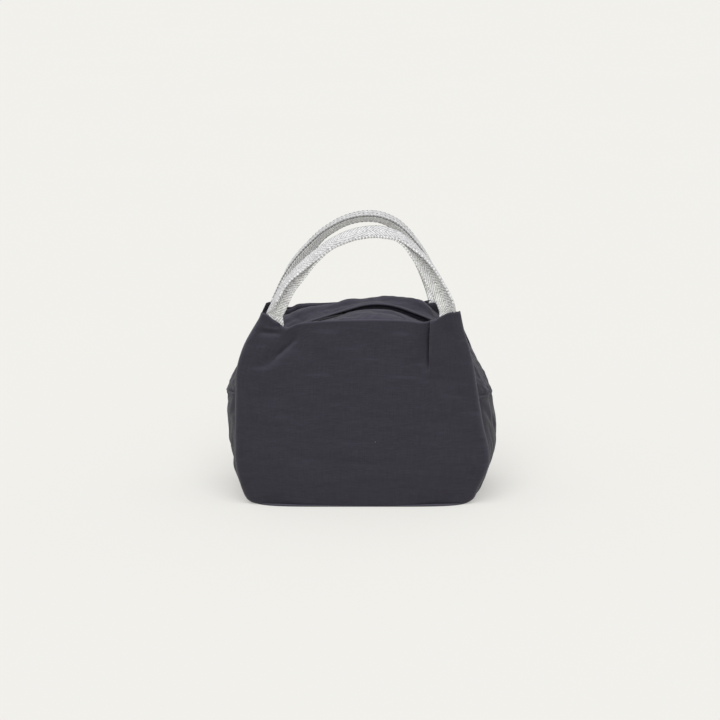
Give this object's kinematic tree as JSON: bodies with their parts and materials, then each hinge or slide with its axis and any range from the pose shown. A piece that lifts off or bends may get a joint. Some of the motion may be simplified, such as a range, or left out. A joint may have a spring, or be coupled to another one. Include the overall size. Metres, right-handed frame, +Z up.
{
  "type": "insulated lunch tote",
  "caption": "Small padded canvas lunch tote with a zipped arch over the top and two folded webbing carrying handles.",
  "frame": {"origin": "on the floor, under the middle of the bag", "axes": "+Z up, -Y out of the front panel, +X to the right of someone facing the front panel"},
  "size_m": [0.2504, 0.1202, 0.2623],
  "materials": {
    "canvas": "matt cotton canvas, plain weave",
    "padding": "soft white foam sheet",
    "lining": "silvered film on fabric",
    "webbing": "matt melange herringbone webbing",
    "zip_tape": "matt woven tape",
    "zip_coil": "satin nylon",
    "zip_metal": "dark satin paint",
    "board": "plain stiff sheet"
  },
  "bodies": {
    "base": {"base_panel": "canvas", "base_board": "board", "base_insulation": "padding", "base_lining": "lining", "left_gusset": "canvas", "left_insulation": "padding", "left_lining": "lining", "right_gusset": "canvas", "right_insulation": "padding", "right_lining": "lining", "left_zip_stop": "zip_metal", "right_zip_stop": "zip_metal"},
    "front_wall": {"front_panel": "canvas", "front_insulation": "padding", "front_lining": "lining", "front_top_placket": "canvas", "front_top_insulation": "padding", "front_top_lining": "lining", "front_zip_tape": "zip_tape", "front_zip_coil": "zip_coil"},
    "back_wall": {"back_panel": "canvas", "back_insulation": "padding", "back_lining": "lining", "back_top_placket": "canvas", "back_top_insulation": "padding", "back_top_lining": "lining", "back_zip_tape": "zip_tape", "back_zip_coil": "zip_coil"},
    "front_grip": {"front_handle": "webbing"},
    "back_grip": {"back_handle": "webbing"},
    "slider": {"zip_slider": "zip_metal"},
    "pull": {"zip_pull": "zip_metal"}
  },
  "joints": [
    {"name": "front_wall_lean", "type": "hinge", "parent": "base", "child": "front_wall", "pos_m": [0, -0.0563, 0.0008], "axis": [1, 0, 0], "range_deg": [0, 14]},
    {"name": "back_wall_lean", "type": "hinge", "parent": "base", "child": "back_wall", "pos_m": [0, 0.0563, 0.0008], "axis": [-1, 0, 0], "range_deg": [0, 14]},
    {"name": "front_handle_swing", "type": "hinge", "parent": "front_wall", "child": "front_grip", "pos_m": [0, -0.0375, 0.1823], "axis": [1, 0, 0], "range_deg": [-18, 150], "stiffness_Nm_per_rad": 0.03},
    {"name": "back_handle_swing", "type": "hinge", "parent": "back_wall", "child": "back_grip", "pos_m": [0, 0.0375, 0.1823], "axis": [-1, 0, 0], "range_deg": [-18, 150], "stiffness_Nm_per_rad": 0.03},
    {"name": "zip_travel", "type": "hinge", "parent": "base", "child": "slider", "pos_m": [0, 0, 0.04038], "axis": [0, 1, 0], "range_deg": [-108, 0]},
    {"name": "pull_flip", "type": "hinge", "parent": "slider", "child": "pull", "pos_m": [0.10737, 0, 0.11839], "axis": [0, -1, 0], "range_deg": [0, 150]}
  ]
}
